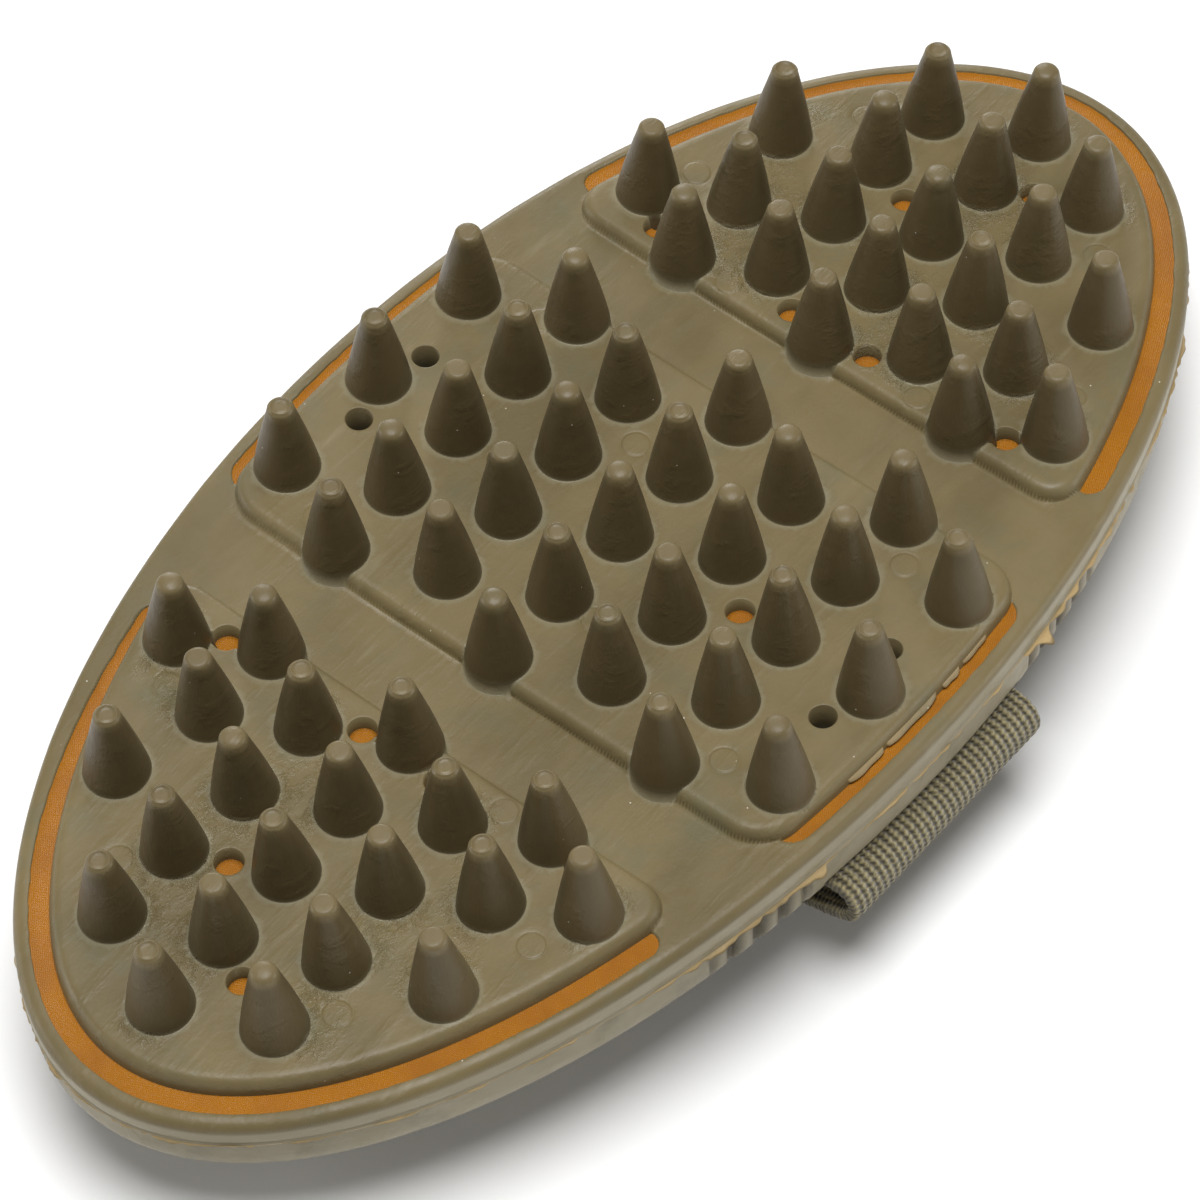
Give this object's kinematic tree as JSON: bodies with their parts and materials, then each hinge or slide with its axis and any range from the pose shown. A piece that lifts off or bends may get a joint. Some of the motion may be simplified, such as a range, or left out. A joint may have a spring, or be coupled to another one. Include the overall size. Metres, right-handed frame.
{
  "type": "rubber curry brush",
  "caption": "Oval rubber curry comb for grooming, with tapered massage teeth on three raised pads, a rigid inlaid core and an elastic hand strap across the back.",
  "frame": {"origin": "under the centre of the brush, on the table plane that the slack hand strap touches", "axes": "+Z out of the teeth, +Y along the long axis, +X across"},
  "size_m": [0.089, 0.1686, 0.0355],
  "materials": {
    "rubber": "satin olive moulded rubber",
    "rubber_back": "satin olive moulded rubber, slightly greyer on the sides",
    "core": "satin orange plastic with a fine cross-hatched texture",
    "webbing": "ribbed khaki and dark woven elastic",
    "steel": "plain zinc-plated steel"
  },
  "bodies": {
    "root": {"rubber_face": "rubber", "core_plate": "core", "rubber_back": "rubber_back", "strap_tail_left": "webbing", "strap_tail_right": "webbing", "clamp_bar_left": "steel", "clamp_bar_right": "steel", "strap_rivets": "steel"},
    "strap": {"hand_strap": "webbing"}
  },
  "joints": [
    {"name": "strap_stretch", "type": "slide", "parent": "root", "child": "strap", "axis": [0, 0, -1], "range_m": [0, 0.018], "stiffness_N_per_m": 250, "springref_m": -0.002, "deforming": ["hand_strap"]}
  ]
}
